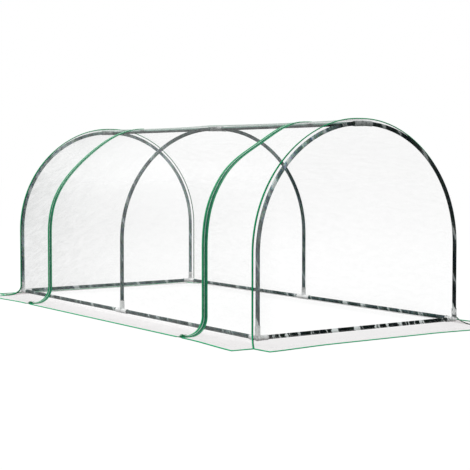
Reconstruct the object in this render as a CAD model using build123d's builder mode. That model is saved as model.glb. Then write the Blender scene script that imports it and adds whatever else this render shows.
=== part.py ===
from build123d import *
from math import degrees
import os

os.makedirs("parts", exist_ok=True)

# A small film-covered tunnel for growing plants, in millimetres. X runs along the tunnel, front at +X,
# the zipped near side faces -Y, and Z = 0 is the ground that the spread flaps lie on.

# Frame, measured over the tubes
frame_length = 2000.0
frame_width = 1000.0
frame_height = 800.0
frame_lift = 20.0

# Galvanised tube
tube_diameter = 16.0
tube_wall = 0.6

# Moulded connectors: a ball hub with sleeves, each sleeve ending at a stop inside the hub
fit_clearance = 0.15
sleeve_wall = 2.0
sleeve_depth = 34.0
stop_distance = 10.0
hub_swell = 0.8

# Film cover, sewn to its ends along seams that lie a little way in from the end hoops
film_thickness = 1.5
film_clearance = 0.2
seam_inset = 11.0
flap_reach = 116.0
flap_bend_radius = 60.0

# Bound hem along each flap and piping along each end seam
hem_width = 6.0
hem_thickness = 4.0
piping_radius = 3.2
piping_seat = 1.6

# Two zips that free the door panel of the near side
zip_spacing = 1328.0
zip_width = 40.0
zip_thickness = 2.4
chain_width = 7.0
chain_thickness = 3.6

# Zip slider with its pull tab
slider_width = 14.0
slider_tail_width = 10.0
slider_length = 20.0
slider_height = 5.0
slider_corner = 3.0
slider_inset = 1.0
slider_clearance = 0.3
bridge_length = 11.0
bridge_height = 4.5
bridge_width = 3.0
bridge_wall = 1.8
tab_width = 7.0
tab_length = 22.0
tab_thickness = 1.6
tab_bar = 2.0
tab_hole_length = 7.0
tab_hole_width = 3.6

# Places worked out from the sizes above
tube_radius = tube_diameter / 2
socket_radius = tube_radius + fit_clearance
sleeve_radius = socket_radius + sleeve_wall
hub_radius = sleeve_radius + hub_swell
mouth_distance = stop_distance + sleeve_depth
hoop_x = frame_length / 2 - tube_radius
leg_y = frame_width / 2 - tube_radius
rail_z = frame_lift + tube_radius
apex_z = frame_lift + frame_height - tube_radius
arch_radius = leg_y - stop_distance
spring_z = apex_z - arch_radius
film_offset = hub_radius + film_clearance + film_thickness / 2
wall_y = leg_y + film_offset
end_x = hoop_x + film_offset
seam_x = hoop_x - seam_inset
flap_z = hem_thickness / 2
bend_z = flap_z + flap_bend_radius
zip_x = zip_spacing / 2
sleeve_turn = degrees(sleeve_depth / arch_radius)

ends = {"front": 1, "rear": -1}
sides = {"near": -1, "far": 1}
hoops = {"front": hoop_x, "middle": 0, "rear": -hoop_x}


def finish(builder, name):
    """Label a finished piece and write it to its own file."""
    builder.part.label = name
    export_step(builder.part, f"parts/{name}.step")


def tube_section(plane):
    """Ring section of the frame tube on a plane."""
    with BuildSketch(plane) as ring:
        Circle(tube_radius)
        Circle(tube_radius - tube_wall, mode=Mode.SUBTRACT)
    return ring.sketch


def straight_tube(name, start, direction, length):
    """Straight tube that runs from one socket stop to the next."""
    with BuildPart() as tube:
        extrude(tube_section(Plane(origin=start, z_dir=direction)), amount=length)
    finish(tube, name)


def half_hoop(name, x, side):
    """Hoop half: a leg from its foot socket, bent over to the socket at the ridge."""
    foot = (x, side * leg_y, rail_z + stop_distance)
    with BuildPart() as tube:
        with BuildLine(Plane.YZ.offset(x)):
            Line((side * leg_y, rail_z + stop_distance), (side * leg_y, spring_z))
            CenterArc((side * stop_distance, spring_z), arch_radius, 90 - side * 90, side * 90)
        sweep(tube_section(Plane(origin=foot)))
    finish(tube, name)


def arms(centre, directions, hoop_sides, radius, start, mode):
    """Round arms out to the sleeve mouths: straight ones, and ones that follow the hoop's curve."""
    for direction in directions:
        with BuildSketch(Plane(origin=centre + direction * start, z_dir=direction)) as disc:
            Circle(radius)
        extrude(disc.sketch, amount=mouth_distance - start, mode=mode)
    for side in hoop_sides:
        with BuildLine(Plane.YZ.offset(centre.X)) as curve:
            CenterArc((side * stop_distance, spring_z), arch_radius, 90, -side * sleeve_turn)
        with BuildSketch(Plane(origin=curve.line @ 0, z_dir=curve.line % 0)) as disc:
            Circle(radius)
        sweep(disc.sketch, path=curve.line, mode=mode)


def connector(name, centre, directions, hoop_sides=()):
    """Moulded connector: a rounded hub, its arms, and a blind socket in each arm."""
    with BuildPart() as fitting:
        with Locations(centre):
            Sphere(hub_radius)
        for side in hoop_sides:
            with BuildSketch(Plane(origin=centre, z_dir=(0, side, 0))):
                Circle(sleeve_radius)
            extrude(amount=stop_distance)
        arms(centre, directions, hoop_sides, sleeve_radius, 0, Mode.ADD)
        arms(centre, directions, hoop_sides, socket_radius, stop_distance, Mode.SUBTRACT)
    finish(fitting, name)


def roof_outline(thickness):
    """Section of a half roof and its wall, from the ridge to where the flap starts to turn."""
    for shift in (-thickness / 2, thickness / 2):
        Line((0, apex_z + film_offset + shift), (stop_distance, apex_z + film_offset + shift))
        TangentArc(
            (stop_distance, apex_z + film_offset + shift), (wall_y + shift, spring_z), tangent=(1, 0)
        )
        Line((wall_y + shift, spring_z), (wall_y + shift, bend_z))
    for u, v in ((0, apex_z + film_offset), (wall_y, bend_z)):
        across = (0, thickness / 2) if u == 0 else (thickness / 2, 0)
        Line((u - across[0], v - across[1]), (u + across[0], v + across[1]))


def flap_outline(wall, thickness, reach):
    """Section of a flap that turns out from the foot of a wall and lies flat on the ground."""
    for shift in (-thickness / 2, thickness / 2):
        TangentArc(
            (wall + shift, bend_z), (wall + flap_bend_radius, flap_z + shift), tangent=(0, -1)
        )
        Line((wall + flap_bend_radius, flap_z + shift), (wall + reach, flap_z + shift))
    Line((wall - thickness / 2, bend_z), (wall + thickness / 2, bend_z))
    Line((wall + reach, flap_z - thickness / 2), (wall + reach, flap_z + thickness / 2))


def section_plane(out, middle):
    """Upright plane through a point, with its first axis pointing out of the tunnel."""
    return Plane(origin=middle, x_dir=out, z_dir=Vector(out).cross(Vector(0, 0, 1)))


def side_band(side, middle_x, width, thickness, reach):
    """Band of the cover from ridge to flap edge, of even width along the tunnel."""
    plane = section_plane((0, side, 0), (middle_x, 0, 0))
    with BuildSketch(plane) as section:
        with BuildLine():
            roof_outline(thickness)
        make_face()
        with BuildLine():
            flap_outline(wall_y, thickness, reach)
        make_face()
    extrude(section.sketch, amount=width / 2, both=True)


def side_film(name, side, start_x, stop_x):
    """One length of film over a side of the tunnel."""
    with BuildPart() as film:
        side_band(side, (start_x + stop_x) / 2, stop_x - start_x, film_thickness, flap_reach - hem_width)
    finish(film, name)


def end_film(name, end):
    """Arched film that closes an end: a shallow dish rolled back over the hoop to the seam, and its flap."""
    spread = film_offset + film_thickness / 2
    half_width = leg_y + spread
    top_z = apex_z + spread
    with BuildPart() as film:
        with BuildSketch(Plane.YZ.offset(end * seam_x)):
            with BuildLine():
                for side in sides.values():
                    Line((0, bend_z), (side * half_width, bend_z))
                    Line((side * half_width, bend_z), (side * half_width, spring_z))
                    TangentArc((side * half_width, spring_z), (side * stop_distance, top_z), tangent=(0, 1))
                    Line((side * stop_distance, top_z), (0, top_z))
            make_face()
        extrude(amount=end * (seam_inset + spread))
        face = film.faces().sort_by(Axis.X)[-1 if end > 0 else 0]
        fillet(face.edges().sort_by(Axis.Z)[1:], radius=spread)
        back = film.faces().sort_by(Axis.X)[0 if end > 0 else -1]
        offset(amount=-film_thickness, openings=[back, film.faces().sort_by(Axis.Z)[0]])
        with BuildSketch(section_plane((end, 0, 0), (0, 0, 0))):
            with BuildLine():
                flap_outline(end_x, film_thickness, flap_reach - hem_width)
            make_face()
        extrude(amount=leg_y, both=True)
    finish(film, name)


def hem(name, out, wall, middle, length):
    """Folded binding along the outer edge of a flap, flat beneath and round on its outer edge."""
    inner = wall + flap_reach - hem_width
    outer = wall + flap_reach
    with BuildPart() as binding:
        with BuildSketch(section_plane(out, middle)):
            with BuildLine():
                Line((inner, 0), (outer, 0))
                Line((outer, 0), (outer, flap_z))
                TangentArc((outer, flap_z), (outer - flap_z, hem_thickness), tangent=(0, 1))
                Line((outer - flap_z, hem_thickness), (inner, hem_thickness))
                Line((inner, hem_thickness), (inner, 0))
            make_face()
        extrude(amount=length / 2, both=True)
    finish(binding, name)


def zip_band(name, x):
    """Zip from ridge to hem: a flat tape with the raised chain of teeth down its middle."""
    with BuildPart() as tape:
        side_band(sides["near"], x, zip_width, zip_thickness, flap_reach)
        side_band(sides["near"], x, chain_width, chain_thickness, flap_reach)
    finish(tape, name)


def slider(name, x):
    """Zip slider parked at the hem: a tapered body over the chain, a bridge, and the pull tab it holds."""
    middle_y = -(wall_y + flap_reach - slider_inset - slider_length / 2)
    tape_z = flap_z + zip_thickness / 2
    groove_height = (chain_thickness - zip_thickness) / 2 + slider_clearance
    top_z = tape_z + slider_height
    half_taper = slider_length / 2 - slider_corner
    with BuildPart() as pull:
        with BuildSketch(Plane((x, middle_y, tape_z))):
            for width, y in ((slider_width, half_taper), (slider_tail_width, -half_taper)):
                with Locations((width / 2 - slider_corner, y), (slider_corner - width / 2, y)):
                    Circle(slider_corner)
            make_hull()
        extrude(amount=slider_height)
        with BuildSketch(Plane((x, middle_y, tape_z))):
            Rectangle(chain_width + 2 * slider_clearance, slider_length)
        extrude(amount=groove_height, mode=Mode.SUBTRACT)
        with BuildSketch(Plane(origin=(x, middle_y, top_z), x_dir=(0, 1, 0), z_dir=(1, 0, 0))):
            for trim, mode in ((0, Mode.ADD), (bridge_wall, Mode.SUBTRACT)):
                with Locations((0, (bridge_height - trim) / 2)):
                    Rectangle(bridge_length - 2 * trim, bridge_height - trim, mode=mode)
        extrude(amount=bridge_width / 2, both=True)
        with BuildSketch(Plane((x, middle_y + (tab_length - tab_bar) / 2, top_z))):
            SlotOverall(tab_length, tab_width, rotation=90)
            with Locations((0, tab_bar + (tab_hole_length - tab_length) / 2)):
                Rectangle(tab_hole_width, tab_hole_length, mode=Mode.SUBTRACT)
        extrude(amount=tab_thickness)
    finish(pull, name)


def piping(name, end):
    """Cord round an end seam, seated on the film where the roof and the end are sewn together."""
    seam_y = wall_y + film_thickness / 2
    top_z = apex_z + film_offset + film_thickness / 2
    with BuildPart() as cord:
        with BuildLine(Plane.YZ.offset(end * seam_x)):
            Line((-seam_y, bend_z), (-seam_y, spring_z))
            CenterArc((-stop_distance, spring_z), top_z - spring_z, 180, -90)
            Line((-stop_distance, top_z), (stop_distance, top_z))
            CenterArc((stop_distance, spring_z), top_z - spring_z, 90, -90)
            Line((seam_y, spring_z), (seam_y, bend_z))
        with BuildSketch(Plane(origin=(end * seam_x, -seam_y, bend_z))):
            with Locations((0, -piping_seat)):
                Circle(piping_radius)
            with Locations((0, piping_radius)):
                Rectangle(2 * piping_radius, 2 * piping_radius, mode=Mode.SUBTRACT)
        sweep()
    finish(cord, name)


# Hoops, one half on each side
for hoop_name, x in hoops.items():
    for side_name, side in sides.items():
        half_hoop(f"hoop_{hoop_name}_{side_name}", x, side)

# Ridge and side rails, in two lengths each, and the rails across the ends
run_length = hoop_x - 2 * stop_distance
for end_name, end in ends.items():
    along = Vector(end, 0, 0)
    straight_tube(f"ridge_{end_name}", Vector(0, 0, apex_z) + along * stop_distance, along, run_length)
    for side_name, side in sides.items():
        start = Vector(0, side * leg_y, rail_z) + along * stop_distance
        straight_tube(f"rail_{side_name}_{end_name}", start, along, run_length)
    end_start = (end * hoop_x, stop_distance - leg_y, rail_z)
    straight_tube(f"rail_end_{end_name}", end_start, (0, 1, 0), 2 * (leg_y - stop_distance))

# Connectors at the corners, the middle feet and the ridge
for end_name, end in ends.items():
    inward = Vector(-end, 0, 0)
    for side_name, side in sides.items():
        corner = Vector(end * hoop_x, side * leg_y, rail_z)
        connector(f"corner_{end_name}_{side_name}", corner, [Vector(0, 0, 1), inward, Vector(0, -side, 0)])
    connector(f"ridge_tee_{end_name}", Vector(end * hoop_x, 0, apex_z), [inward], sides.values())
along_both = [Vector(1, 0, 0), Vector(-1, 0, 0)]
for side_name, side in sides.items():
    connector(f"foot_tee_{side_name}", Vector(0, side * leg_y, rail_z), [Vector(0, 0, 1)] + along_both)
connector("ridge_cross", Vector(0, 0, apex_z), along_both, sides.values())

# Film: the far side in one length, the near side in two strips with the door panel between the zips
door_end = zip_x - zip_width / 2
strip_start = zip_x + zip_width / 2
side_film("film_far", sides["far"], -seam_x, seam_x)
side_film("film_door", sides["near"], -door_end, door_end)
side_film("film_near_front", sides["near"], strip_start, seam_x)
side_film("film_near_rear", sides["near"], -seam_x, -strip_start)
for end_name, end in ends.items():
    end_film(f"film_end_{end_name}", end)
    piping(f"piping_{end_name}", end)

# Hems on every flap
near_out = (0, -1, 0)
strip_length = seam_x - strip_start
strip_middle = (seam_x + strip_start) / 2
hem("hem_far", (0, 1, 0), wall_y, (0, 0, 0), 2 * seam_x)
hem("hem_door", near_out, wall_y, (0, 0, 0), 2 * door_end)
for end_name, end in ends.items():
    hem(f"hem_near_{end_name}", near_out, wall_y, (end * strip_middle, 0, 0), strip_length)
    hem(f"hem_end_{end_name}", (end, 0, 0), end_x, (0, 0, 0), 2 * leg_y)

# Zips and their sliders
for end_name, end in ends.items():
    zip_band(f"zip_{end_name}", end * zip_x)
    slider(f"slider_{end_name}", end * zip_x)
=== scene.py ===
import math

import bpy
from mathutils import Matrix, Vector, noise


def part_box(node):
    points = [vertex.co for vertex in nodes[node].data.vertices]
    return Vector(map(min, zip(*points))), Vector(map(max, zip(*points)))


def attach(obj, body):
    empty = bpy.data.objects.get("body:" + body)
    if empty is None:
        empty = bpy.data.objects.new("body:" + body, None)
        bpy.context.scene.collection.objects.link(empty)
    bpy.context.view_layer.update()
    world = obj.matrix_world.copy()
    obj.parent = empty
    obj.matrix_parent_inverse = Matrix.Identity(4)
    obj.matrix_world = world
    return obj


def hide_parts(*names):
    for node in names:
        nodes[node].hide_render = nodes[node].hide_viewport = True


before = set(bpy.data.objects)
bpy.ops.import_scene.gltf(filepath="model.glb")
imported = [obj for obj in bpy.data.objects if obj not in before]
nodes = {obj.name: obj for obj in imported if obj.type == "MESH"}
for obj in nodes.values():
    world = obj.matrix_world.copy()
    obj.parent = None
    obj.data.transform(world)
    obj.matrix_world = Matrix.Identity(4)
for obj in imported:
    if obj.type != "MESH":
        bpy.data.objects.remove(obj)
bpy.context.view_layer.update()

bpy.ops.object.select_all(action="DESELECT")

# Tube frame: three hoops in halves, a ridge, and rails round the foot.
# Thin steel tube, hot-dip galvanised, so the zinc is dull and dark. The bright streaks along it are painted
# reflections, and its lighter and darker tones by place are painted light and shade.
# Each tube is bent or cut to length and pushed home in a connector's sleeve.
HOOP_DARK = (0.032, 0.052, 0.052, 1.0)
HOOP_MID = (0.110, 0.150, 0.145, 1.0)
# Painted shade: the rails and ridge take darker tones of zinc than the hoops.
STRAIGHT_DARK = (0.015, 0.029, 0.028, 1.0)
STRAIGHT_MID = (0.056, 0.084, 0.080, 1.0)
ZINC_EDGE = (0.27, 0.32, 0.32, 1.0)
# Painted reflections: the colour of the bright streaks on the zinc.
ZINC_GLINT = (0.66, 0.70, 0.69, 1.0)
# Painted shade: the front rail and the front hoop from its middle to its far leg are blackened by this share.
ZINC_FRONT_SHADE = 0.22
# Painted light: the rear hoop and rear rail are lightened by this share, standing in for the lit film in
# front of them.
ZINC_REAR_SHADE = 1.75
# Painted light: the near arch of the front hoop is lightened by this share.
ZINC_ARCH_SHADE = 2.2
# Painted shade: the ridge and the hoop crowns behind the front are darkened by this share.
ZINC_RIDGE_SHADE = 0.5
ZINC_FRONT_WIDER = 0.03
ZINC_STREAK_RUN = (15.7, 17.3, 8.9)
ZINC_MOTTLE_SCALE = 95.0
ZINC_MOTTLE = 0.35
ZINC_RAGGED = 0.3
# Painted light: the pale lit colour given to the ridge's top.
ZINC_TOP_LIGHT = (0.26, 0.37, 0.32, 1.0)
ZINC_TOP_LIGHT_SHARE = 0.8
ZINC_SPANGLE_SCALE = 170.0
ZINC_GRAIN_SCALE = 900.0
ZINC_ROUGHNESS = (0.38, 0.62)
ZINC_METALLIC = 0.65
ZINC_GLOSS = 0.1
SPANGLE_SHARE = 0.25
CLOUDY_RANGE = (0.42, 0.54)
# Painted reflections: where the streaks turn bright, and how many of them by place.
GLINT_RANGE = (0.575, 0.605)
GLINT_SHARE = 0.35
RAIL_GLINT_SHARE = 0.2
FRONT_RAIL_GLINT_SHARE = 0.45
ARCH_GLINT_SHARE = 0.12
RIDGE_GLINT_SHARE = -0.3
FRONT_X = (0.95, 0.99)
REAR_X = (-0.90, -0.98)
RAIL_Z = (0.12, 0.06)
ARCH_Z = (0.40, 0.55)
CROWN_Z = (0.75, 0.78)
BLACK_Y = (-0.27, -0.10)

ridge_low, ridge_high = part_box("ridge_front")
ridge_mid = (ridge_low.z + ridge_high.z) / 2


def new_material(name):
    """Node material, returned with its tree and its Principled shader."""
    material = bpy.data.materials.new(name)
    material.use_nodes = True
    return material, material.node_tree, material.node_tree.nodes["Principled BSDF"]


def add_node(tree, kind, inputs=None, **settings):
    """A node of a tree, with its properties and its input values set by name."""
    node = tree.nodes.new(kind)
    for key, value in settings.items():
        setattr(node, key, value)
    for key, value in (inputs or {}).items():
        if isinstance(value, bpy.types.NodeSocket):
            tree.links.new(value, node.inputs[key])
        else:
            node.inputs[key].default_value = value
    return node


def maths(tree, operation, first, second, third=0.0):
    """Result of a sum on values or sockets."""
    inputs = {0: first, 1: second, 2: third}
    return add_node(tree, "ShaderNodeMath", inputs, operation=operation).outputs["Value"]


def between(tree, value, start, stop):
    """0 to 1 as a value runs from a start to a stop."""
    inputs = {"Value": value, "From Min": start, "From Max": stop}
    return add_node(tree, "ShaderNodeMapRange", inputs).outputs["Result"]


def spread(tree, value, low, high):
    """A value from 0 to 1 spread over a range."""
    inputs = {"Value": value, "To Min": low, "To Max": high}
    return add_node(tree, "ShaderNodeMapRange", inputs).outputs["Result"]


def clouds(tree, where, scale, detail, **more):
    """Cloudy noise over a surface, from 0 to 1."""
    inputs = {"Vector": where, "Scale": scale, "Detail": detail, **more}
    return add_node(tree, "ShaderNodeTexNoise", inputs).outputs["Fac"]


def blend(tree, share, first, second, mode="MIX"):
    """Mix of two colours."""
    inputs = {"Factor": share, "A": first, "B": second}
    node = tree.nodes.new("ShaderNodeMix")
    node.data_type = "RGBA"
    node.blend_type = mode
    for key, value in inputs.items():
        kind = "VALUE" if key == "Factor" else "RGBA"
        socket = next(s for s in node.inputs if s.name == key and s.type == kind and s.enabled)
        if isinstance(value, bpy.types.NodeSocket):
            tree.links.new(value, socket)
        else:
            socket.default_value = value
    return next(s for s in node.outputs if s.enabled)


def put(tree, shader, **sockets):
    """Link sockets to a shader's inputs, or set their values."""
    for key, value in sockets.items():
        socket = shader.inputs[key.replace("_", " ")]
        if isinstance(value, bpy.types.NodeSocket):
            tree.links.new(value, socket)
        else:
            socket.default_value = value


def new_group(name, inputs, outputs):
    """Shader node group with named inputs and outputs, returned with the nodes they meet."""
    group = bpy.data.node_groups.new(name, "ShaderNodeTree")
    for key, kind in inputs.items():
        group.interface.new_socket(name=key, in_out="INPUT", socket_type="NodeSocket" + kind)
    for key, kind in outputs.items():
        group.interface.new_socket(name=key, in_out="OUTPUT", socket_type="NodeSocket" + kind)
    return group, group.nodes.new("NodeGroupInput").outputs, group.nodes.new("NodeGroupOutput").inputs


def use_group(tree, group, **inputs):
    """A group set into a material, with its inputs filled; returns its outputs."""
    return add_node(tree, "ShaderNodeGroup", inputs, node_tree=group).outputs


SURFACE = {"Color": "Color", "Roughness": "Float", "Normal": "Vector"}


def zinc_group():
    """Dull zinc with a crystal spangle and a fine grain. On top of it: bright streaks of painted reflection,
    painted shade at the front and under the ridge, and painted light at the rear, on the front near arch and
    on the ridge's top.
    """
    group, given, result = new_group("zinc", {"Dark": "Color", "Mid": "Color"}, SURFACE)
    where = add_node(group, "ShaderNodeTexCoord").outputs["Object"]
    place = add_node(group, "ShaderNodeSeparateXYZ", {"Vector": where}).outputs
    run = add_node(group, "ShaderNodeVectorMath", {0: where, 1: ZINC_STREAK_RUN}, operation="DOT_PRODUCT")
    mottle = maths(group, "SUBTRACT", clouds(group, where, ZINC_MOTTLE_SCALE, 2.0), 0.5)
    ragged = maths(group, "MULTIPLY_ADD", mottle, ZINC_RAGGED, run.outputs["Value"])
    # Streaks along the tube: they set the zinc's random mottle and where the painted reflections fall.
    streaks = add_node(
        group, "ShaderNodeTexNoise", {"W": ragged, "Scale": 1.0, "Detail": 5.0, "Roughness": 0.72},
        noise_dimensions="1D",
    ).outputs["Fac"]
    crystals = {"Vector": where, "Scale": ZINC_SPANGLE_SCALE}
    spangle = add_node(group, "ShaderNodeTexVoronoi", crystals).outputs["Color"]
    grain = clouds(group, where, ZINC_GRAIN_SCALE, 2.0)
    front = between(group, place["X"], *FRONT_X)
    rear = between(group, place["X"], *REAR_X)
    rail = between(group, place["Z"], *RAIL_Z)
    front_rail = maths(group, "MULTIPLY", front, rail)
    # Painted shade: blackens the front rail and the front hoop from its middle to its far leg.
    black = maths(group, "MAXIMUM", rail, between(group, place["Y"], *BLACK_Y))
    dark = maths(group, "MULTIPLY", front, black)
    # Painted light: lightens the rear hoop and rear rail.
    shade = maths(group, "MULTIPLY_ADD", rear, ZINC_REAR_SHADE - 1.0, 1.0)
    shade = maths(group, "MULTIPLY_ADD", dark, ZINC_FRONT_SHADE - 1.0, shade)
    # Painted light: lightens the near arch of the front hoop.
    arch = maths(group, "SUBTRACT", front, dark)
    arch = maths(group, "MULTIPLY", arch, between(group, place["Z"], *ARCH_Z))
    shade = maths(group, "MULTIPLY_ADD", arch, ZINC_ARCH_SHADE - 1.0, shade)
    clear_of_front = maths(group, "SUBTRACT", 1.0, front)
    # Painted shade: darkens the ridge and the crowns of the hoops behind the front.
    even = maths(group, "MULTIPLY", between(group, place["Z"], *CROWN_Z), clear_of_front)
    shade = maths(group, "MULTIPLY_ADD", even, ZINC_RIDGE_SHADE - 1.0, shade)
    cloudy = maths(group, "MULTIPLY_ADD", mottle, ZINC_MOTTLE, streaks)
    dull = blend(group, between(group, cloudy, *CLOUDY_RANGE), given["Dark"], given["Mid"])
    spangled = blend(group, SPANGLE_SHARE, dull, spangle, "OVERLAY")
    dimmed = add_node(group, "ShaderNodeVectorMath", {0: spangled, "Scale": shade}, operation="SCALE")
    # Painted reflections: bright streaks, wider on the front rail, more on the rails and the front near arch,
    # fewer on the ridge.
    wider = maths(group, "MULTIPLY_ADD", front_rail, ZINC_FRONT_WIDER, streaks)
    glint_amount = maths(group, "MULTIPLY_ADD", rail, RAIL_GLINT_SHARE, GLINT_SHARE)
    glint_amount = maths(group, "MULTIPLY_ADD", front_rail, FRONT_RAIL_GLINT_SHARE, glint_amount)
    glint_amount = maths(group, "MULTIPLY_ADD", arch, ARCH_GLINT_SHARE, glint_amount)
    glint_amount = maths(group, "MULTIPLY_ADD", even, RIDGE_GLINT_SHARE, glint_amount)
    glint = maths(group, "MULTIPLY", between(group, wider, *GLINT_RANGE), glint_amount)
    bump = add_node(group, "ShaderNodeBump", {"Height": grain, "Strength": 0.12, "Distance": 0.0004})
    # Painted light: the top of the ridge is blended towards a pale lit colour.
    top_light = maths(group, "MULTIPLY", between(group, place["Z"], ridge_mid, ridge_high.z), clear_of_front)
    top_lit = blend(group, maths(group, "MULTIPLY", top_light, ZINC_TOP_LIGHT_SHARE), dimmed.outputs["Vector"], ZINC_TOP_LIGHT)
    group.links.new(blend(group, glint, top_lit, ZINC_GLINT), result["Color"])
    group.links.new(spread(group, grain, *ZINC_ROUGHNESS), result["Roughness"])
    group.links.new(bump.outputs["Normal"], result["Normal"])
    return group


zinc = zinc_group()


def zinc_tube(name, dark, mid):
    """Galvanised tube in two tones of zinc."""
    material, tree, shader = new_material(name)
    marks = use_group(tree, zinc, Dark=dark, Mid=mid)
    put(tree, shader, Base_Color=marks["Color"], Roughness=marks["Roughness"], Normal=marks["Normal"])
    put(tree, shader, Metallic=ZINC_METALLIC, Specular_IOR_Level=ZINC_GLOSS, Specular_Tint=ZINC_EDGE)
    return material


def dress(names, material):
    """Give CAD nodes a finish."""
    for name in names:
        nodes[name].data.materials.clear()
        nodes[name].data.materials.append(material)


dress([n for n in nodes if n.startswith("hoop_")], zinc_tube("hoop_zinc", HOOP_DARK, HOOP_MID))
# The rails and ridge get the darker zinc as painted shade.
straight = [n for n in nodes if n.startswith("rail_") or n in ("ridge_front", "ridge_rear")]
dress(straight, zinc_tube("straight_zinc_shaded", STRAIGHT_DARK, STRAIGHT_MID))

# Push-fit connectors at the corners, the middle feet and along the ridge.
# Injection-moulded milky plastic, a ball hub with sleeves, satin from the mould and a little scuffed.
MILKY_LIGHT = (0.80, 0.815, 0.81, 1.0)
MILKY_DULL = (0.42, 0.435, 0.43, 1.0)
# Painted shade: dark tones of the milky plastic for the connectors along the ridge and at the front far
# corner.
SHADED_MILKY_LIGHT = (0.24, 0.26, 0.255, 1.0)
SHADED_MILKY_DULL = (0.07, 0.08, 0.08, 1.0)
SCUFF_SCALE = 420.0
FLOW_RANGE = (0.36, 0.54)
SATIN_RANGE = (0.36, 0.60)


def moulding_group():
    """Moulded plastic's cloudy flow marks, scuffs and satin, for any two tones of it."""
    inputs = {"Light": "Color", "Dull": "Color", "Scale": "Float"}
    group, given, result = new_group("moulding", inputs, SURFACE)
    where = add_node(group, "ShaderNodeTexCoord").outputs["Object"]
    flow = clouds(group, where, given["Scale"], 4.0, Roughness=0.6)
    scuff = clouds(group, where, SCUFF_SCALE, 3.0)
    share = between(group, flow, *FLOW_RANGE)
    bump = add_node(group, "ShaderNodeBump", {"Height": scuff, "Strength": 0.1, "Distance": 0.0005})
    group.links.new(blend(group, share, given["Dull"], given["Light"]), result["Color"])
    group.links.new(spread(group, scuff, *SATIN_RANGE), result["Roughness"])
    group.links.new(bump.outputs["Normal"], result["Normal"])
    return group


moulding = moulding_group()


def moulded(name, light, dull, scale, gloss=0.5):
    """Moulded plastic in two tones."""
    material, tree, shader = new_material(name)
    marks = use_group(tree, moulding, Light=light, Dull=dull, Scale=scale)
    put(tree, shader, Base_Color=marks["Color"], Roughness=marks["Roughness"], Normal=marks["Normal"])
    put(tree, shader, Specular_IOR_Level=gloss)
    return material


milky_plastic = moulded("milky_plastic", MILKY_LIGHT, MILKY_DULL, scale=55.0)
shaded_plastic = moulded("shaded_plastic", SHADED_MILKY_LIGHT, SHADED_MILKY_DULL, scale=75.0)
part_shaded_plastic = moulded("part_shaded_plastic", MILKY_LIGHT, SHADED_MILKY_DULL, scale=60.0)
dress([n for n in nodes if n.startswith(("corner_", "foot_tee", "ridge_tee", "ridge_cross"))], milky_plastic)
# Painted shade: the ridge connectors get a shaded copy of the plastic, and the front far corner gets a
# part-shaded one.
dress(["ridge_tee_front", "ridge_tee_rear", "ridge_cross"], shaded_plastic)
dress(["corner_front_far"], part_shaded_plastic)

# Film cover: the far side in one sheet, the near side in two strips with a door panel between the zips,
# and an arched sheet at each end. Clear polyethylene film, pulled over the hoops so that it dips
# between them, rolled over the end hoops to its seams, and turned out at the foot into flaps.
hoop_low, hoop_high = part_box("hoop_front_far")
hoop_x = (hoop_low.x + hoop_high.x) / 2
tube_radius = (hoop_high.x - hoop_low.x) / 2
leg_y = hoop_high.y - tube_radius
apex_z = hoop_high.z - tube_radius
crown_half = hoop_low.y
arch_radius = leg_y - crown_half
spring_z = apex_z - arch_radius
film_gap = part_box("film_far")[1].z - apex_z
wall_y = leg_y + film_gap
end_x = hoop_x + film_gap
seam_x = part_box("film_far")[1].x
hem_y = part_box("hem_far")[1].y
hem_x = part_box("hem_end_front")[1].x
zip_low, zip_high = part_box("zip_front")
zip_x = (zip_low.x + zip_high.x) / 2
zip_half = (zip_high.x - zip_low.x) / 2

FLAP_Z = 0.0015
FOOT_BEND = 0.072
CORNER_BEND = 0.050
CORNER_REACH = 0.24
CORNER_SPREAD = 0.024
FLAP_SLIP = 0.1
CROWN_LIFT = 0.004
CROWN_FADE = 6
REAR_DIP = 0.031
REAR_DIP_DEGREES = (-4, 80)
FRONT_DIP = 0.023
FRONT_DIP_DEGREES = (4, 56)
FRONT_SWELL = 0.006
FRONT_SWELL_DEGREES = (46, 90)
DIP_FLATNESS = 1.1
FILM_STEP = 0.012
RIM_STEPS = 6
SEAM_MERGE = 0.0002
FOLD_HEIGHT = 0.0016
FOLD_SHARPNESS = 2.4
FOLD_ALONG = 13
FOLD_UP = 7
FOLD_SKEWS = (6, -5, -3)
SLACK_HEIGHT = 0.003
SLACK_ALONG = 4.5
SLACK_UP = 3.5
HOOP_SLACK = 3
TAUT_MARGIN = 0.05
TAUT_RIM = 0.07
GROUND_SLACK = 0.15
GROUND_Z = 0.01
GROUND_FADE = 0.08
SIDE_SEED_STEP = 7.3
END_SEED = 60
END_SEED_STEP = 9.1


def ease(value):
    """Smooth step from 0 to 1."""
    value = min(1.0, max(0.0, value))
    return value * value * (3 - 2 * value)


def hump(value, start, stop):
    """Smooth hump that is 0 outside a range and 1 in its middle."""
    share = min(1.0, max(0.0, (value - start) / (stop - start)))
    return math.sin(math.pi * share) ** 2


def near_corner(along, limit):
    """How near a place along a wall is to the wall's corner, from 0 to 1."""
    return ease(1 - (limit - abs(along)) / CORNER_REACH)


def bay_share(x):
    """How far a place along the tunnel is from its hoops: 0 at a hoop, 1 in the middle of a bay."""
    share = min(1.0, abs(x) / hoop_x)
    return 4 * share * (1 - share)


def film_rows():
    """Places of a sheet's rows, as (part, share of that part), from the crown to the hem."""
    lengths = {
        "arc": arch_radius * math.pi / 2,
        "wall": spring_z - FOOT_BEND,
        "bend": FOOT_BEND * math.pi / 2,
        "flap": hem_y - wall_y - FOOT_BEND,
    }
    rows = []
    for part, length in lengths.items():
        count = max(4, round(length / FILM_STEP))
        rows += [(part, i / count) for i in range(count)]
    return rows + [("flap", 1.0)]


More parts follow.
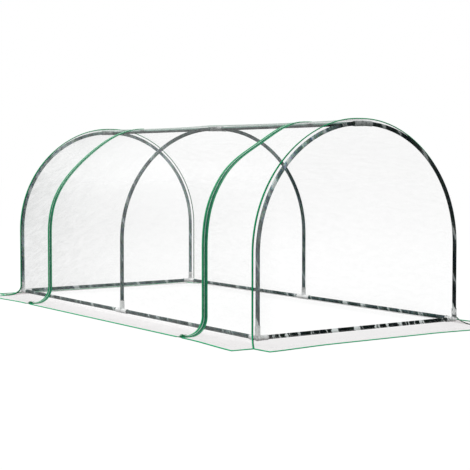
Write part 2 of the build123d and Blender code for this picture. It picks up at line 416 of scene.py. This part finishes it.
def foot(part, share, along, limit, wall, reach):
    """Turned-out foot of a wall at a row: how far out and up it is, and the corner's pull on it."""
    corner = near_corner(along, limit)
    radius = FOOT_BEND + (CORNER_BEND - FOOT_BEND) * corner
    if part == "bend":
        turn = share * math.pi / 2
        pull = 1 - math.cos(turn)
        return wall + radius * pull, FLAP_Z + radius * (1 - math.sin(turn)), pull
    out = wall + radius + (reach + CORNER_SPREAD * corner - wall - radius) * share
    return out, FLAP_Z, 1.0 - FLAP_SLIP * share


def side_point(side, x, part, share):
    """Place on a side of the cover at a row, before creases."""
    bay = bay_share(x)
    crown = CROWN_LIFT * (1 - bay)
    if part == "crown":
        return Vector((x, side * crown_half * share, apex_z + film_gap + crown))
    if part == "arc":
        angle = share * math.pi / 2
        degrees = math.degrees(angle)
        if x < 0:
            dip = REAR_DIP * hump(degrees, *REAR_DIP_DEGREES)
        else:
            swell = FRONT_SWELL * hump(degrees, *FRONT_SWELL_DEGREES)
            dip = FRONT_DIP * hump(degrees, *FRONT_DIP_DEGREES) - swell
        lift = crown * math.cos(angle) ** CROWN_FADE
        radius = arch_radius + film_gap + lift - dip * min(1.0, bay * DIP_FLATNESS)
        across = crown_half + radius * math.sin(angle)
        return Vector((x, side * across, spring_z + radius * math.cos(angle)))
    if part == "wall":
        foot_z = FLAP_Z + FOOT_BEND + (CORNER_BEND - FOOT_BEND) * near_corner(x, seam_x)
        return Vector((x, side * wall_y, spring_z + (foot_z - spring_z) * share))
    out, up, pull = foot(part, share, x, seam_x, wall_y, hem_y)
    flare = math.copysign((end_x + CORNER_BEND - seam_x) * pull * near_corner(x, seam_x), x)
    return Vector((x + flare, side * out, up))


def end_point(end, across, part, share):
    """Place on the flat of an end sheet at a row, across from -1 to 1 between the hoop's legs."""
    if part == "arc":
        angle = share * math.pi / 2
        half = crown_half + arch_radius * math.sin(angle)
        return Vector((end * end_x, across * half, spring_z + arch_radius * math.cos(angle)))
    along = across * leg_y
    if part == "wall":
        foot_z = FLAP_Z + FOOT_BEND + (CORNER_BEND - FOOT_BEND) * near_corner(along, leg_y)
        return Vector((end * end_x, along, spring_z + (foot_z - spring_z) * share))
    out, up, pull = foot(part, share, along, leg_y, end_x, hem_x)
    flare = math.copysign((wall_y + CORNER_BEND - leg_y) * pull * near_corner(along, leg_y), along)
    return Vector((end * out, along + flare, up))


def rim_shift(end, outward, part, share, roll):
    """Step from the edge of an end sheet's flat round the hoop to the seam, roll from 0 to 1."""
    arc = film_gap * math.pi / 2
    run = roll * (arc + hoop_x - seam_x)
    angle = min(run, arc) / film_gap
    lift = CROWN_LIFT * outward.z**CROWN_FADE * math.sin(angle) if part == "arc" else 0.0
    back = film_gap * (math.cos(angle) - 1) - max(0.0, run - arc)
    held = math.cos(share * math.pi / 2) if part == "bend" else 1.0
    return (Vector((end * back, 0, 0)) + outward * (film_gap * math.sin(angle) + lift)) * held


def creases(place, seed):
    """Height of the film's creases and slack at a place."""
    broad = Vector((place.x * SLACK_ALONG + seed, place.y * SLACK_ALONG, place.z * SLACK_UP))
    skew = Vector((
        place.x * FOLD_ALONG + place.z * FOLD_SKEWS[0],
        place.y * FOLD_ALONG + place.z * FOLD_SKEWS[1] + seed,
        place.z * FOLD_UP + place.x * FOLD_SKEWS[2],
    ))
    fold = max(0.0, 1 - abs(noise.noise(skew)) * FOLD_SHARPNESS) ** 2
    return noise.noise(broad) * SLACK_HEIGHT + fold * FOLD_HEIGHT


def grid_piece(name, columns, rows, place):
    """Mesh grid whose points are placed one by one by column and row."""
    bpy.ops.mesh.primitive_grid_add(x_subdivisions=columns, y_subdivisions=rows, size=1)
    piece = bpy.context.object
    piece.name = name
    for number, vertex in enumerate(piece.data.vertices):
        vertex.co = place(number % (columns + 1), number // (columns + 1))
    piece.data.update()
    bpy.ops.object.shade_smooth()
    return piece


def face_out(piece, towards):
    """Turn a sheet's faces so that most of them point in a direction."""
    score = sum(p.area * p.normal.dot(towards) for p in piece.data.polygons)
    if score < 0:
        bpy.ops.object.mode_set(mode="EDIT")
        bpy.ops.mesh.select_all(action="SELECT")
        bpy.ops.mesh.flip_normals()
        bpy.ops.object.mode_set(mode="OBJECT")


def crease(piece, seed, slack):
    """Move a sheet's points along their normals by its creases, as far as the slack there lets them."""
    normals = [v.normal.copy() for v in piece.data.vertices]
    for vertex, normal in zip(piece.data.vertices, normals):
        vertex.co += normal * creases(vertex.co, seed) * slack(vertex.co)
    piece.data.update()


def select_only(pieces):
    """Select some pieces and make the first one active."""
    bpy.ops.object.select_all(action="DESELECT")
    for piece in pieces:
        piece.select_set(True)
    bpy.context.view_layer.objects.active = pieces[0]


def ground_slack(place):
    """Slack of a sheet by its height: little where it lies on the ground."""
    return GROUND_SLACK + (1 - GROUND_SLACK) * ease((place.z - GROUND_Z) / GROUND_FADE)


def side_slack(place, start, stop):
    """Slack of a side sheet: none at its edges, its hoops and the ridge, little on the ground."""
    edge = ease(min(place.x - start, stop - place.x) / TAUT_MARGIN)
    hoop = ease(bay_share(place.x) * HOOP_SLACK)
    ridge = ease((apex_z - place.z) / TAUT_MARGIN)
    return edge * hoop * ridge * ground_slack(place)


def end_slack(place):
    """Slack of an end sheet: none along its rim, little on the ground."""
    if place.z > spring_z:
        inset = arch_radius - math.hypot(max(0.0, abs(place.y) - crown_half), place.z - spring_z)
    else:
        inset = leg_y - abs(place.y)
    return ease(inset / TAUT_RIM) * ground_slack(place)


rows = film_rows()
corner_row = rows.index(("flap", 0.0))
sides = {"near": -1, "far": 1}
ends = {"front": 1, "rear": -1}
side_spans = {
    "film_far": ("far", -seam_x, seam_x),
    "film_door": ("near", zip_half - zip_x, zip_x - zip_half),
    "film_near_front": ("near", zip_x + zip_half, seam_x),
    "film_near_rear": ("near", -seam_x, -zip_x - zip_half),
}
crown_rows = [("crown", 0.0), ("crown", 0.5)]
films = {}
for seed, (name, (side_name, start, stop)) in enumerate(side_spans.items()):
    side = sides[side_name]
    columns = round((stop - start) / FILM_STEP)
    side_rows = crown_rows + rows
    sheet = grid_piece(
        name + "_sheet", columns, len(side_rows) - 1,
        lambda i, j: side_point(side, start + (stop - start) * i / columns, *side_rows[j]),
    )
    face_out(sheet, Vector((0, side, 1)))
    crease(sheet, seed * SIDE_SEED_STEP, lambda place: side_slack(place, start, stop))
    films[name] = sheet

end_columns = 2 * round(leg_y / FILM_STEP)
for seed, (end_name, end) in enumerate(ends.items()):
    name = f"film_end_{end_name}"
    edge = [(0, j) for j in range(corner_row, 0, -1)]
    edge += [(i, 0) for i in range(end_columns + 1)]
    edge += [(end_columns, j) for j in range(1, corner_row + 1)]

    def flat_point(i, j):
        return end_point(end, 2 * i / end_columns - 1, *rows[j])

    def rim_point(k, roll):
        i, j = edge[k]
        part, share = rows[j]
        if part == "arc":
            angle = share * math.pi / 2
            lean = math.copysign(math.sin(angle), i - end_columns / 2)
            outward = Vector((0, lean, math.cos(angle)))
        else:
            outward = Vector((0, math.copysign(1, i - end_columns / 2), 0))
        return flat_point(i, j) + rim_shift(end, outward, part, share, roll / RIM_STEPS)

    flat = grid_piece(name + "_sheet", end_columns, len(rows) - 1, flat_point)
    face_out(flat, Vector((end, 0, 0)))
    crease(flat, END_SEED + seed * END_SEED_STEP, end_slack)
    rim = grid_piece(name + "_rim", len(edge) - 1, RIM_STEPS, rim_point)
    face_out(rim, Vector((end, 0, 1)))
    select_only([flat, rim])
    bpy.ops.object.join()
    bpy.ops.object.mode_set(mode="EDIT")
    bpy.ops.mesh.select_all(action="SELECT")
    bpy.ops.mesh.remove_doubles(threshold=SEAM_MERGE)
    bpy.ops.object.mode_set(mode="OBJECT")
    films[name] = flat

FILM_WHITE = (0.92, 0.935, 0.93, 1.0)
# Painted shade: the grey tint the film takes towards the rear.
FILM_GREY = (0.42, 0.45, 0.44, 1.0)
FILM_FOOT = (0.30, 0.24, 0.245, 1.0)
WRINKLE_SIZE = (0.07, 0.06, 0.021)
# Painted sheen: the tint and haze the film takes where it is seen along it.
FILM_EDGE = (0.13, 0.21, 0.175, 1.0)
# Painted sheen: the green tint and thick haze of the film over the ridge.
FILM_CROWN = (0.01, 0.17, 0.085, 1.0)
GRAZE_HAZE = 0.17
CROWN_HAZE = 0.7
EDGE_SHARE = 5.0
NEAR_HAZE = 0.10
FILM_ROUGHNESS = 0.3
CLOUD_SCALE = 3.2
CLOUD_SHARES = (0.8, 1.2)
WRINKLE_TILT = (0.55, 0.0, 0.0)
GRAZE_START = 0.66
GRAZE_POWER = 3.0
ACROSS_POWER = 1.3
FLAP_TOP_Z = (0.031, 0.022)
WALL_FOOT_Z = (0.03, 0.10)
CROWN_RISE = (0.003, 0.010)
RIM_INSET = (0.015, 0.07)
REAR_FADE_X = (-0.35, -0.95)
ACROSS_Y = (0.45, -0.50)
NEAR_Y = (-0.40, -0.49)
FILM_HAZES = {
    "side": {"haze": 0.08, "rear_haze": 0.03, "wrinkle_shading": 0.25, "foot_haze": 0.155},
    "front": {"haze": 0.018, "rear_haze": 0.0, "wrinkle_shading": 0.20, "foot_haze": 0.21, "end": "front"},
    "rear": {"haze": 0.06, "rear_haze": 0.20, "wrinkle_shading": 0.35, "foot_haze": 0.14, "end": "rear"},
}


def film_group():
    """Film's wrinkles and clouds, and masks of where it lies on the tunnel."""
    masks = ("Wrinkle", "Cloud", "Low", "Crown", "Rear", "Across", "Off", "Near")
    outputs = {mask: "Float" for mask in masks} | {"Normal": "Vector"}
    group, _, result = new_group("film_marks", {}, outputs)
    where = add_node(group, "ShaderNodeTexCoord").outputs["Object"]
    place = add_node(group, "ShaderNodeSeparateXYZ", {"Vector": where}).outputs
    slant = {"Vector": where, "Rotation": WRINKLE_TILT, "Scale": WRINKLE_SIZE}
    slanted = add_node(group, "ShaderNodeMapping", slant, vector_type="TEXTURE").outputs["Vector"]
    wrinkle = clouds(group, slanted, 1.0, 1.5, Roughness=0.45, Distortion=0.7)
    across = maths(group, "MAXIMUM", place["Y"], 0.0)
    rise = maths(group, "MAXIMUM", maths(group, "SUBTRACT", place["Z"], spring_z), 0.0)
    reach = add_node(group, "ShaderNodeCombineXYZ", {"X": across, "Y": rise}).outputs["Vector"]
    length = add_node(group, "ShaderNodeVectorMath", {0: reach}, operation="LENGTH").outputs["Value"]
    inside = between(group, length, leg_y - RIM_INSET[0], leg_y - RIM_INSET[1])
    low = between(group, place["Z"], *FLAP_TOP_Z)
    near = between(group, place["Y"], *NEAR_Y)
    bump = add_node(group, "ShaderNodeBump", {"Height": wrinkle, "Strength": 0.8, "Distance": 0.006})
    values = {
        "Wrinkle": maths(group, "MULTIPLY_ADD", wrinkle, 4.0, -2.0),
        "Cloud": clouds(group, where, CLOUD_SCALE, 2.0),
        "Low": low,
        "Crown": between(group, place["Z"], apex_z + CROWN_RISE[0], apex_z + CROWN_RISE[1]),
        "Rear": between(group, place["X"], *REAR_FADE_X),
        "Across": between(group, place["Y"], *ACROSS_Y),
        "Off": maths(group, "MULTIPLY", inside, between(group, place["Z"], *WALL_FOOT_Z)),
        "Near": maths(group, "MULTIPLY", near, maths(group, "SUBTRACT", 1.0, low)),
        "Normal": bump.outputs["Normal"],
    }
    for key, value in values.items():
        group.links.new(value, result[key])
    return group


film_marks = film_group()


def clear_film(name, haze, rear_haze, wrinkle_shading, foot_haze, end=None):
    """Clear film: a faint milky haze and soft wrinkles. Painted shade greys it towards the rear and on the
    sides of its wrinkles, and a painted sheen tints it where it is seen along it and over the ridge.
    """
    material, tree, shader = new_material(name)
    marks = use_group(tree, film_marks)
    # Painted sheen: more haze, tinted, where the film is seen along it.
    facing = add_node(tree, "ShaderNodeLayerWeight", {"Blend": 0.5}).outputs["Facing"]
    along = maths(tree, "POWER", between(tree, facing, GRAZE_START, 1.0), GRAZE_POWER)
    # Painted sheen: the film over the ridge takes much more haze.
    edge = GRAZE_HAZE if end else maths(tree, "MULTIPLY_ADD", marks["Crown"], CROWN_HAZE, GRAZE_HAZE)
    graze = maths(tree, "MULTIPLY", along, edge)
    # Painted shade: more haze towards the rear, and on the rear end sheet towards its near edge.
    depth = maths(tree, "POWER", marks["Across"], ACROSS_POWER) if end == "rear" else marks["Rear"]
    veil = maths(tree, "MULTIPLY_ADD", depth, rear_haze, haze)
    veil = maths(tree, "MULTIPLY", veil, spread(tree, marks["Cloud"], *CLOUD_SHARES))
    # Painted light and shade: the wrinkles are real, and the haze makes their sides lighter and darker.
    ruck = maths(tree, "MULTIPLY", marks["Wrinkle"], depth) if end == "rear" else marks["Wrinkle"]
    veil = maths(tree, "MULTIPLY", veil, maths(tree, "MULTIPLY_ADD", ruck, wrinkle_shading, 1.0))
    if end == "front":
        veil = maths(tree, "MULTIPLY", veil, marks["Off"])
        veil = maths(tree, "MULTIPLY_ADD", marks["Near"], NEAR_HAZE, veil)
    # Painted shade: the tint greys towards the rear.
    tint = blend(tree, marks["Rear"], FILM_WHITE, FILM_GREY)
    tint = blend(tree, maths(tree, "MULTIPLY", graze, EDGE_SHARE), tint, FILM_EDGE)
    # Painted sheen: the film over the ridge is tinted green.
    if not end:
        tint = blend(tree, marks["Crown"], tint, FILM_CROWN)
    put(
        tree, shader,
        Base_Color=blend(tree, marks["Low"], tint, FILM_FOOT),
        Alpha=maths(tree, "MULTIPLY_ADD", marks["Low"], foot_haze, maths(tree, "ADD", veil, graze)),
        Normal=marks["Normal"],
        Roughness=FILM_ROUGHNESS,
    )
    return material


film_finishes = {key: clear_film(f"clear_film_{key}", **hazes) for key, hazes in FILM_HAZES.items()}
for name, sheet in films.items():
    finish = {"film_end_front": "front", "film_end_rear": "rear"}.get(name, "side")
    sheet.data.materials.append(film_finishes[finish])
    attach(sheet, "root")
    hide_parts(name)

# Piping round each end seam: a cord wrapped in a strip of green cloth and sewn into the seam.
# It runs from the ground at one corner, up over the end hoop, and down to the other corner.
PIPING_RADIUS = 0.0035
PIPING_TAPER = 0.38
PIPING_GREEN = (0.014, 0.440, 0.175, 1.0)
PIPING_SHADE = (0.008, 0.220, 0.085, 1.0)
PIPING_INSIDE = (0.02, 0.03, 0.027, 1.0)
PIPING_SEAT_SHARE = 0.8
PIPING_BEVEL_STEPS = 2
PIPING_WEAVE = 330.0
WEAR_SCALE = 40.0
WEAVE_RANGE = (0.2, 0.55)
INWARD_RANGE = (0.03, 0.12)


def weave_group():
    """Woven cloth: the crossing threads, worn a little, for any two tones of it."""
    inputs = {"Light": "Color", "Shade": "Color", "Scale": "Float"}
    group, given, result = new_group("weave", inputs, {"Color": "Color", "Normal": "Vector"})
    where = add_node(group, "ShaderNodeTexCoord").outputs["Object"]
    wear = clouds(group, where, WEAR_SCALE, 3.0)
    warp, weft = (
        add_node(
            group, "ShaderNodeTexWave", {"Vector": where, "Scale": given["Scale"], "Distortion": 0.4},
            bands_direction=direction,
        ).outputs["Fac"]
        for direction in ("DIAGONAL", "X")
    )
    threads = maths(group, "MULTIPLY", warp, weft)
    mottle = maths(group, "MULTIPLY_ADD", threads, 0.5, maths(group, "MULTIPLY", wear, 0.5))
    share = between(group, mottle, *WEAVE_RANGE)
    bump = add_node(group, "ShaderNodeBump", {"Height": threads, "Strength": 0.25, "Distance": 0.0004})
    group.links.new(blend(group, share, given["Shade"], given["Light"]), result["Color"])
    group.links.new(bump.outputs["Normal"], result["Normal"])
    return group


weave = weave_group()


def woven_green(name, light, shade, scale, gloss=0.05, roughness=0.75, inside=None):
    """Green cloth with a fine weave, and another colour, where one is given, on its side in the tunnel."""
    material, tree, shader = new_material(name)
    threads = use_group(tree, weave, Light=light, Shade=shade, Scale=scale)
    color = threads["Color"]
    if inside:
        inward = add_node(tree, "ShaderNodeAttribute", attribute_name="inward").outputs["Fac"]
        color = blend(tree, between(tree, inward, *INWARD_RANGE), color, inside)
    put(tree, shader, Base_Color=color, Normal=threads["Normal"])
    put(tree, shader, Roughness=roughness, Specular_IOR_Level=gloss)
    return material


def outward_at(side, part, share):
    """Direction out of the cover at a row of a side."""
    if part == "crown":
        return Vector((0, 0, 1))
    if part == "arc":
        angle = share * math.pi / 2
        return Vector((0, side * math.sin(angle), math.cos(angle)))
    if part == "bend":
        turn = share * math.pi / 2
        return Vector((0, side * math.cos(turn), math.sin(turn)))
    return Vector((0, side, 0)) if part == "wall" else Vector((0, 0, 1))


piping_cloth = woven_green("piping_cloth", PIPING_GREEN, PIPING_SHADE, PIPING_WEAVE, inside=PIPING_INSIDE)
for end_name, end in ends.items():
    path = []
    for side in (-1, 1):
        half = [
            side_point(side, end * seam_x, *row) + outward_at(side, *row) * PIPING_RADIUS * PIPING_SEAT_SHARE
            for row in crown_rows[1:] + rows[: corner_row + 1]
        ]
        path += half[::-1] if side < 0 else half
    curve = bpy.data.curves.new(f"piping_{end_name}_cord", "CURVE")
    curve.dimensions = "3D"
    curve.bevel_depth = PIPING_RADIUS
    curve.bevel_resolution = PIPING_BEVEL_STEPS
    curve.use_fill_caps = True
    spline = curve.splines.new("POLY")
    spline.points.add(len(path) - 1)
    for point, place in zip(spline.points, path):
        point.co = (*place, 1.0)
        climb = ease((place.z - spring_z) / arch_radius) if place.y < 0 else 1.0
        point.radius = 1.0 - PIPING_TAPER * climb**3
    cord = bpy.data.objects.new(curve.name, curve)
    bpy.context.collection.objects.link(cord)
    select_only([cord])
    bpy.ops.object.convert(target="MESH")
    cord = bpy.context.object
    bpy.ops.object.shade_smooth()
    inward = cord.data.attributes.new("inward", "FLOAT", "POINT")
    inward.data.foreach_set("value", [-v.co.y * v.normal.y for v in cord.data.vertices])
    cord.data.materials.append(piping_cloth)
    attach(cord, "root")
    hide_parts(f"piping_{end_name}")

# Bound hems: a strip of green cloth folded over the edge of every flap and stitched through.
# Each binding runs along the flap and turns in along the flap's short edges at the corners.
HEM_GREEN = (0.012, 0.560, 0.240, 1.0)
HEM_SHADE = (0.007, 0.320, 0.135, 1.0)
HEM_HALF_WIDTH = 0.0036
HEM_HALF_HEIGHT = 0.0019
HEM_ROUND = 8
HEM_LIFT = 0.0003
HEM_STEP = 0.02
HEM_SHORTEST = 0.003
HEM_WEAVE = 300.0
END_HEM_STEPS = 50
BAR_MERGE = 0.00002
BAR_SMOOTH = math.radians(50)


def bar(name, stations, outline):
    """Bar of one section swept through stations, each a centre with its across and up directions."""
    count = len(outline)

    def place(i, j):
        centre, across, up = stations[i]
        a, u = outline[j % count]
        return centre + across * a + up * u

    piece = grid_piece(name, len(stations) - 1, count, place)
    bpy.ops.object.mode_set(mode="EDIT")
    bpy.ops.mesh.select_all(action="SELECT")
    bpy.ops.mesh.remove_doubles(threshold=BAR_MERGE)
    bpy.ops.mesh.select_all(action="DESELECT")
    bpy.ops.mesh.select_non_manifold()
    bpy.ops.mesh.fill_holes(sides=0)
    bpy.ops.mesh.select_all(action="SELECT")
    bpy.ops.mesh.normals_make_consistent(inside=False)
    bpy.ops.object.mode_set(mode="OBJECT")
    bpy.ops.object.shade_smooth_by_angle(angle=BAR_SMOOTH)
    return piece


def oval(half_width, half_height, count, power=0.6):
    """Outline of a flattened, round-edged band."""
    turns = [2 * math.pi * i / count for i in range(count)]
    return [
        (
            half_width * math.copysign(abs(math.cos(t)) ** power, math.cos(t)),
            half_height * math.copysign(abs(math.sin(t)) ** power, math.sin(t)),
        )
        for t in turns
    ]


def ground_stations(path):
    """Stations along a path on the ground, with mitred across directions."""
    stations = []
    for k, place in enumerate(path):
        before = (place - path[k - 1]).normalized() if k else (path[1] - place).normalized()
        after = (path[k + 1] - place).normalized() if k + 1 < len(path) else before
        heading = (before + after).normalized()
        across = heading.cross(Vector((0, 0, 1))).normalized()
        stations.append((place, across / max(0.5, heading.dot(after)), Vector((0, 0, 1))))
    return stations


def hem_path(edge_points):
    """Path of a binding round the edge of a flap, lifted to lie on the ground."""
    path = [edge_points[0]]
    for point in edge_points[1:]:
        if (point - path[-1]).length > HEM_SHORTEST:
            path.append(point)
    return [Vector((p.x, p.y, HEM_HALF_HEIGHT + HEM_LIFT)) for p in path]


flap_rows = rows[corner_row:]


def side_edge(side, start, stop):
    """Edge of a side's flap from one end to the other, with a short edge where it ends at a seam."""
    count = max(6, round((stop - start) / HEM_STEP))
    long = [side_point(side, start + (stop - start) * i / count, "flap", 1.0) for i in range(count + 1)]
    lead = [side_point(side, start, *row) for row in flap_rows[:-1]] if start == -seam_x else []
    tail = [side_point(side, stop, *row) for row in flap_rows[-2::-1]] if stop == seam_x else []
    return lead + long + tail


def end_edge(end):
    """Edge of an end's flap with both short edges."""
    count = END_HEM_STEPS
    long = [end_point(end, 2 * i / count - 1, "flap", 1.0) for i in range(count + 1)]
    lead = [end_point(end, -1, *row) for row in flap_rows[:-1]]
    tail = [end_point(end, 1, *row) for row in flap_rows[-2::-1]]
    return lead + long + tail


hem_cloth = woven_green("hem_cloth", HEM_GREEN, HEM_SHADE, HEM_WEAVE)
edges = {
    name.replace("film_", "hem_"): side_edge(sides[side_name], start, stop)
    for name, (side_name, start, stop) in side_spans.items()
}
edges |= {f"hem_end_{end_name}": end_edge(end) for end_name, end in ends.items()}
hem_outline = oval(HEM_HALF_WIDTH, HEM_HALF_HEIGHT, HEM_ROUND)
for name, edge_points in edges.items():
    binding = bar(name + "_binding", ground_stations(hem_path(edge_points)), hem_outline)
    binding.data.materials.append(hem_cloth)
    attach(binding, "root")
    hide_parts(name)

for name, sheet in films.items():
    if name in side_spans:
        start, stop = side_spans[name][1:]

# Zips: two woven green tapes with bound edges and a nylon coil between them.
# Each is sewn to the film from the hem to the ridge and follows its curve.
TAPE_GREEN = (0.008, 0.200, 0.100, 1.0)
TAPE_SHADE = (0.006, 0.095, 0.048, 1.0)
EDGE_GREEN = (0.004, 0.400, 0.150, 1.0)
EDGE_SHADE = (0.004, 0.270, 0.092, 1.0)
# The coil's pale green is partly its own colour and partly a painted highlight.
COIL_GREEN = (0.520, 0.780, 0.630, 1.0)
COIL_SHADE = (0.300, 0.540, 0.420, 1.0)
TAPE_HALF_HEIGHT = 0.0006
EDGE_HALF_WIDTHS = {-1: 0.0042, 1: 0.0016}
EDGE_HALF_HEIGHT = 0.0011
COIL_HALF_WIDTH = 0.0024
COIL_HALF_HEIGHT = 0.0012
COIL_PITCH = 0.0026
COIL_GAP = 0.0026
COIL_WIRE_SHARE = 0.36
COIL_LEAN_SHARE = 0.24
COIL_BEVEL = 0.25
COIL_SMOOTH = math.radians(40)
CORE_LAP = 0.0005
STRIP_ROUND = 8
ZIP_WEAVE = 380.0

tape_cloth = woven_green("zip_tape_cloth", TAPE_GREEN, TAPE_SHADE, ZIP_WEAVE, gloss=0.08, roughness=0.5)
edge_cloth = woven_green("zip_edge_cloth", EDGE_GREEN, EDGE_SHADE, ZIP_WEAVE, gloss=0.18, roughness=0.42)
coil_nylon = moulded("zip_coil_nylon", COIL_GREEN, COIL_SHADE, scale=160.0)


def zip_stations(x, shift, lift):
    """Stations down a zip, shifted sideways on the tape and lifted off the film."""
    stations = []
    zip_rows = crown_rows + rows
    places = [side_point(-1, x, *row) for row in zip_rows]
    for k, place in enumerate(places):
        heading = places[min(k + 1, len(places) - 1)] - places[max(k - 1, 0)]
        heading.x = 0
        up = heading.cross(Vector((1, 0, 0))).normalized()
        stations.append((place + Vector((shift, 0, 0)) + up * lift, Vector((1, 0, 0)), up))
    return stations


def strip(name, x, shift, half_width, half_height, cloth):
    """Strip of cloth down a zip, lying on the film."""
    piece = bar(name, zip_stations(x, shift, half_height), oval(half_width, half_height, STRIP_ROUND))
    piece.data.materials.append(cloth)
    return piece


bpy.ops.mesh.primitive_cylinder_add(vertices=8, radius=1.0, depth=2.0, rotation=(0, math.pi / 2, 0))
coil_turn = bpy.context.object
bpy.ops.object.transform_apply(location=False, rotation=True, scale=False)
bpy.ops.object.mode_set(mode="EDIT")
bpy.ops.mesh.select_all(action="SELECT")
bpy.ops.mesh.bevel(offset=COIL_BEVEL, segments=1)
bpy.ops.object.mode_set(mode="OBJECT")
turn_points = [v.co.copy() for v in coil_turn.data.vertices]
turn_faces = [tuple(p.vertices) for p in coil_turn.data.polygons]
bpy.data.objects.remove(coil_turn)

tape_half = (zip_half - COIL_GAP) / 2
for end_name, end in ends.items():
    x = end * zip_x
    name = f"zip_{end_name}"
    strips = [
        strip(f"{name}_tape", x, turn * (COIL_GAP + tape_half), tape_half, TAPE_HALF_HEIGHT, tape_cloth)
        for turn in (-1, 1)
    ]
    strips += [
        strip(f"{name}_edge", x, turn * (zip_half - half), half, EDGE_HALF_HEIGHT, edge_cloth)
        for turn, half in EDGE_HALF_WIDTHS.items()
    ]
    strips.append(strip(f"{name}_core", x, 0, COIL_GAP + CORE_LAP, TAPE_HALF_HEIGHT, tape_cloth))
    select_only(strips)
    bpy.ops.object.join()
    tape = bpy.context.object
    tape.name = f"{name}_band"
    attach(tape, "root")
    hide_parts(name)

    coil_turns = []
    stations = zip_stations(x, 0, 2 * TAPE_HALF_HEIGHT)
    run = 0.0
    for (place, _, up), (following, _, up_after) in zip(stations, stations[1:]):
        step = (following - place).length
        while run < step:
            share = run / step
            normal = up.lerp(up_after, share).normalized()
            coil_turns.append((place.lerp(following, share), normal))
            run += COIL_PITCH
        run -= step
    points, faces = [], []
    for place, up in coil_turns:
        along = up.cross(Vector((1, 0, 0)))
        first = len(points)
        for c in turn_points:
            points.append(
                place + Vector((c.x * COIL_HALF_WIDTH, 0, 0))
                + along * (COIL_PITCH * (c.y * COIL_WIRE_SHARE + c.x * COIL_LEAN_SHARE))
                + up * (COIL_HALF_HEIGHT * (1 + c.z))
            )
        faces += [tuple(first + n for n in face) for face in turn_faces]
    mesh = bpy.data.meshes.new(f"{name}_coil")
    mesh.from_pydata(points, [], faces)
    coil = bpy.data.objects.new(f"{name}_coil", mesh)
    bpy.context.collection.objects.link(coil)
    select_only([coil])
    bpy.ops.object.mode_set(mode="EDIT")
    bpy.ops.mesh.select_all(action="SELECT")
    bpy.ops.mesh.normals_make_consistent(inside=False)
    bpy.ops.object.mode_set(mode="OBJECT")
    bpy.ops.object.shade_smooth_by_angle(angle=COIL_SMOOTH)
    coil.data.materials.append(coil_nylon)
    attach(coil, "root")

# Sliders: one at the foot of each zip, with a bridge and a pull tab.
# Moulded in dark green nylon, and closed over the end of the coil.
SLIDER_GREEN = (0.014, 0.230, 0.090, 1.0)
SLIDER_SHADE = (0.008, 0.130, 0.052, 1.0)
slider_nylon = moulded("slider_nylon", SLIDER_GREEN, SLIDER_SHADE, scale=120.0, gloss=0.35)
dress(["slider_front", "slider_rear"], slider_nylon)

# Stage: a white floor that keeps the tunnel's shadow, an even white surround and two soft lamps.
# The camera stands at the photograph's angle.
CAMERA_AZIMUTH = math.radians(56.057)
CAMERA_ELEVATION = math.radians(2.494)
CAMERA_DISTANCE = 5.5547
CAMERA_AIM = Vector((0.0, 0.0, 0.428))
CAMERA_FOCAL_PIXELS = 1235.76
CAMERA_OFFSET_PIXELS = (-17.64, -20.4)
IMAGE_PIXELS = 470
SENSOR_WIDTH = 36.0
FLOOR_SIZE = 60.0
FLOOR_GLOW = 0.85
FLOOR_GREY = (0.15, 0.15, 0.15, 1.0)
LAMP_AIM = Vector((0, 0, 0.4))

bpy.ops.mesh.primitive_plane_add(size=FLOOR_SIZE, location=(0, 0, 0))
floor = bpy.context.object
floor.name = "floor"
floor_paint, tree, shader = new_material("white_floor")
rays = add_node(tree, "ShaderNodeLightPath").outputs
seen_by_way = maths(tree, "MAXIMUM", rays["Is Glossy Ray"], rays["Is Transmission Ray"])
seen = maths(tree, "MAXIMUM", rays["Is Camera Ray"], seen_by_way)
put(
    tree, shader,
    Base_Color=FLOOR_GREY,
    Roughness=0.9,
    Specular_IOR_Level=0.0,
    Emission_Color=(1, 1, 1, 1),
    Emission_Strength=maths(tree, "MULTIPLY", seen, FLOOR_GLOW),
)
floor.data.materials.append(floor_paint)

world = bpy.data.worlds.new("surround")
bpy.context.scene.world = world
world.use_nodes = True
background = world.node_tree.nodes["Background"]
background.inputs["Color"].default_value = (1, 1, 1, 1)
background.inputs["Strength"].default_value = 1.0

lamps = {
    "lamp_overhead": ((-1.5, -2.5, 4.0), 3.0, 60.0),
    "lamp_rear": ((-4.6, -0.9, 3.5), 2.4, 80.0),
}
for name, (place, size, power) in lamps.items():
    bpy.ops.object.light_add(type="AREA", location=place)
    lamp = bpy.context.object
    lamp.name = name
    lamp.data.shape = "DISK"
    lamp.data.size = size
    lamp.data.energy = power
    lamp.rotation_euler = (LAMP_AIM - lamp.location).to_track_quat("-Z", "Y").to_euler()

back = Vector((
    math.sin(CAMERA_AZIMUTH) * math.cos(CAMERA_ELEVATION),
    -math.cos(CAMERA_AZIMUTH) * math.cos(CAMERA_ELEVATION),
    math.sin(CAMERA_ELEVATION),
))
bpy.ops.object.camera_add(location=CAMERA_AIM + back * CAMERA_DISTANCE)
camera = bpy.context.object
camera.rotation_euler = (-back).to_track_quat("-Z", "Y").to_euler()
camera.data.sensor_width = SENSOR_WIDTH
camera.data.lens = CAMERA_FOCAL_PIXELS / IMAGE_PIXELS * SENSOR_WIDTH
camera.data.shift_x = -CAMERA_OFFSET_PIXELS[0] / IMAGE_PIXELS
camera.data.shift_y = CAMERA_OFFSET_PIXELS[1] / IMAGE_PIXELS
bpy.context.scene.camera = camera
bpy.context.scene.view_settings.view_transform = "Standard"

bpy.context.view_layer.update()
